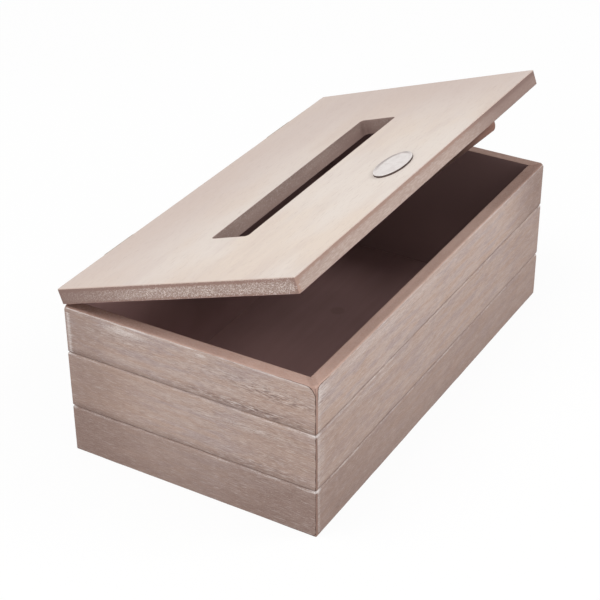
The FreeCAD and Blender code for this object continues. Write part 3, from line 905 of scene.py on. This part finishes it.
def lid_board():
    """The slotted board as a band of faces swept round the slot and the outline."""
    cos, sin = math.cos(SLOT_TURN), math.sin(SLOT_TURN)
    askew = np.array(((cos, sin), (-sin, cos)))
    inner, inner_out, _ = outline(SLOT_HALF_X, SLOT_HALF_Y, SLOT_RADIUS)
    inner = inner @ askew + (SLOT_OFFSET, 0)
    inner_out = inner_out @ askew
    outer, outer_out, sides = outline(HALF_X, HALF_Y, LID_CORNER)
    share, from_slot, from_edge, height, kind = lid_section()
    is_outline, is_top = share > 0.999, kind == TOP

    # Small dents along the outline, and a little more off its four tips.
    along = np.cumsum(np.hypot(*(np.roll(outer, -1, 0) - outer).T))
    dent = LID_DENT * (1 + noise(along[:, None] / 7, height / 2.5, 71))
    tip = bell(np.hypot(HALF_X - np.abs(outer[:, :1]), HALF_Y - np.abs(outer[:, 1:])), 2.2)
    dent = dent + LID_TIP_WEAR * tip * (1 + smooth(height, LID_HIGH - 2, LID_HIGH))
    into = from_edge + dent * is_outline
    inner_x, inner_y = (inner[:, k, None] + inner_out[:, k, None] * from_slot for k in (0, 1))
    outer_x, outer_y = (outer[:, k, None] - outer_out[:, k, None] * into for k in (0, 1))
    x = inner_x * (1 - share) + outer_x * share
    y = inner_y * (1 - share) + outer_y * share
    waves = is_top & (height > LID_HIGH - 0.01)
    z = height - waves * LID_WAVE * (1 + noise(x / 26, y / 5, 72))
    points = np.stack([x, y, z], 2)
    values = {"grain": points.reshape(-1, 3) * MM, **lid_wear(x, y, z, is_outline, is_top)}

    # Faces between each point and the next ones round the outline and along the section.
    index = np.arange(x.size).reshape(x.shape)
    on = np.roll(index, -1, 0)
    corners = (index, on, np.roll(on, -1, 1), np.roll(index, -1, 1))
    quads = np.stack([c.ravel() for c in corners], 1)
    kinds = np.where(is_top, np.roll(kind, -1, 1), kind).astype(int) + 0 * index
    kinds = np.where((kinds == LONG_EDGE) & np.isin(sides, SHORT_SIDES)[:, None], SHORT_EDGE, kinds)
    new_piece("lid_board_limed", opened(points.reshape(-1, 3)), quads.tolist(),
              kinds.ravel().tolist(), LID_MATERIALS, values, "lid_board", "lid")


# The plate's section: distance in from its outline, and height above the lid.
BADGE_SECTION = [(0.0, 0.0), (0.0, 0.45), (0.0, 0.86), (0.04, 0.95), (0.14, 1.0), (0.6, 1.0),
                 (1.0, 0.99), (1.12, 0.94), (1.2, 0.84), (1.3, 0.79), (1.5, 0.78), (2.4, 0.79),
                 (4.0, 0.80), (6.0, 0.81), (8.0, 0.815)]
BADGE_WALL_STEPS = 3
BADGE_STEPS = 192              # points round the oval


def badge():
    """The oval plate: a rounded border round a slightly domed bare field."""
    long, short = BADGE_SIZE
    turns = np.linspace(0, 2 * math.pi, BADGE_STEPS + 1)[:-1]
    rings = []
    for inset, height in BADGE_SECTION:
        # The rings turn rounder towards the middle.
        ring_long = long - inset * (1.0 if inset < 2 else 1.0 + (inset - 2) * 0.12)
        ring = (ring_long * np.cos(turns), (short - inset) * np.sin(turns), height + 0 * turns)
        rings.append(np.stack(ring, 1))
    points = np.concatenate(rings)
    cos, sin = math.cos(BADGE_TURN), math.sin(BADGE_TURN)
    x, y = points[:, 0] * cos - points[:, 1] * sin, points[:, 0] * sin + points[:, 1] * cos
    placed = np.stack([x + BADGE_PLACE[0], y + BADGE_PLACE[1], points[:, 2] + LID_HIGH], 1)

    index = np.arange(len(points)).reshape(len(BADGE_SECTION), BADGE_STEPS)
    on = np.roll(index, -1, 1)
    corners = (index[:-1], on[:-1], on[1:], index[1:])
    quads = np.stack([c.ravel() for c in corners], 1).tolist()
    faces = quads + [index[0][::-1].tolist(), index[-1].tolist()]
    wall_faces = BADGE_WALL_STEPS * BADGE_STEPS
    # The side wall takes the dark edge colour, which is painted shade.
    indices = [1] * wall_faces + [0] * (len(quads) - wall_faces) + [1, 0]

    # Painted shade: the border is darker on its far side.
    inset = np.repeat([step[0] for step in BADGE_SECTION], BADGE_STEPS)
    facing = np.tile(np.cos(turns - math.radians(40)), len(BADGE_SECTION))
    rim = bell(inset - 0.9, 0.7) * smooth(facing, -0.2, 0.9)
    new_piece("badge_plate_satin", opened(placed), faces, indices, [BADGE, BADGE_EDGE_SHADE],
              {"rim": rim}, "badge_plate", "lid")


lid_board()
badge()

# ------------------------------------------- CAD pieces that keep their own shape
# Material and width of the eased edges, in millimetres.
CARRIED = {"bottom_board": (stained_board(), 0.3), "lid_front_batten": (brown_wood(), 0.5),
           "hinge_screws_body": (SCREW, 0.06), "hinge_screws_lid": (SCREW, 0.06)}
for side in ("left", "right"):
    CARRIED[side + "_hinge_body_leaf"] = (HINGE, 0.12)
    CARRIED[side + "_hinge_lid_leaf"] = (HINGE, 0.12)
    CARRIED[side + "_hinge_pin"] = (SCREW, 0.12)
WELD_DISTANCE = 0.001
BEVEL_ANGLE = math.radians(40)
for node, (material, easing) in CARRIED.items():
    piece = frame["nodes"][node]
    piece.data.materials.clear()
    piece.data.materials.append(material)
    weld = piece.modifiers.new("weld", "WELD")
    weld.merge_threshold = WELD_DISTANCE * MM
    bevel = piece.modifiers.new("easing", "BEVEL")
    bevel.width = easing * MM
    bevel.segments = 2
    bevel.limit_method = "ANGLE"
    bevel.angle_limit = BEVEL_ANGLE

# -------------------------------------------------------- floor, light and camera
WHITE = (1, 1, 1, 1)
FLOOR_HALF = 6                 # metres
FLOOR_WHITE = 0.92             # share of plain white that the camera sees in the floor
WORLD_LIGHT = 0.52


def two_way(tree, factor, first, second):
    """A surface between two."""
    inputs = {0: factor, 1: first.outputs[0], 2: second.outputs[0]}
    return tree.node("ShaderNodeMixShader", inputs).outputs[0]


def seen_directly(tree, *kinds):
    """1 for rays of these kinds, 0 for the rest."""
    rays = tree.node("ShaderNodeLightPath").outputs
    seen = rays[kinds[0]]
    for kind in kinds[1:]:
        seen = tree.math("MAXIMUM", seen, rays[kind])
    return seen


def white_floor():
    """A floor that looks almost plain white and lights the box like pale grey paper."""
    material, tree = new_material("floor_white")
    seen = seen_directly(tree, "Is Camera Ray", "Is Glossy Ray")
    mottle = tree.vary(tree.noise(tree.place(), (300, 300, 300), 2, 0.5))
    paper = tree.mix(mottle, srgb(250, 249, 248), srgb(253, 253, 253))
    colour = tree.mix(seen, srgb(188, 185, 182), paper)
    matt = tree.node("ShaderNodeBsdfDiffuse", {"Color": colour})
    white = tree.node("ShaderNodeEmission", {"Color": WHITE, "Strength": 1.0})
    surface = two_way(tree, tree.times(seen, FLOOR_WHITE), matt, white)
    tree.node("ShaderNodeOutputMaterial", {"Surface": surface})
    return material


corners = [(x * FLOOR_HALF, y * FLOOR_HALF, 0) for x, y in ((-1, -1), (1, -1), (1, 1), (-1, 1))]
floor_mesh = bpy.data.meshes.new("floor")
floor_mesh.from_pydata(corners, [], [(0, 1, 2, 3)])
floor_mesh.materials.append(white_floor())
floor = bpy.data.objects.new("floor", floor_mesh)
bpy.context.scene.collection.objects.link(floor)

world = bpy.data.worlds.new("studio")
bpy.context.scene.world = world
tree = NodeTree(world)
direct = seen_directly(tree, "Is Camera Ray", "Is Glossy Ray", "Is Transmission Ray")
soft = tree.node("ShaderNodeBackground", {"Color": WHITE, "Strength": WORLD_LIGHT})
plain = tree.node("ShaderNodeBackground", {"Color": WHITE, "Strength": 1.0})
tree.node("ShaderNodeOutputWorld", {"Surface": two_way(tree, direct, soft, plain)})

# Name: place in metres, what it points at, width in metres and power in watts.
LAMPS = {"top": ((-0.45, 0.35, 1.35), (0, 0, 0.08), 0.7, 6.3),
         "high": ((0.62, -1.07, 1.24), (0, 0, 0.06), 0.6, 7),
         "front": ((0.15, -1.35, 0.22), (0, 0, 0.06), 0.6, 5.1),
         "side": ((-1.3, -0.15, 0.3), (0, 0, 0.05), 0.7, 6.0)}
for name, (place, target, width, power) in LAMPS.items():
    lamp_data = bpy.data.lights.new(name, "AREA")
    lamp_data.shape = "DISK"
    lamp_data.size = width
    lamp_data.energy = power
    lamp = bpy.data.objects.new(name, lamp_data)
    lamp.location = place
    lamp.rotation_euler = (Vector(target) - Vector(place)).to_track_quat("-Z", "Y").to_euler()
    bpy.context.scene.collection.objects.link(lamp)

# The camera was fitted to the edges of the box in the photograph.
CAMERA_PLACE = (-0.61428, -0.35072, 0.47325)
CAMERA_TURN = (58.7252, 0.055, -60.0393)
CAMERA_LENS, CAMERA_SENSOR = 95.67, 36
CAMERA_SHIFT_X, CAMERA_SHIFT_Y = -0.0265, -0.0087
camera_data = bpy.data.cameras.new("camera")
camera_data.lens = CAMERA_LENS
camera_data.sensor_width = CAMERA_SENSOR
camera_data.shift_x = CAMERA_SHIFT_X
camera_data.shift_y = CAMERA_SHIFT_Y
camera = bpy.data.objects.new("camera", camera_data)
camera.location = CAMERA_PLACE
camera.rotation_euler = Euler([math.radians(angle) for angle in CAMERA_TURN])
bpy.context.scene.collection.objects.link(camera)
bpy.context.scene.camera = camera
bpy.context.scene.view_settings.view_transform = "Standard"
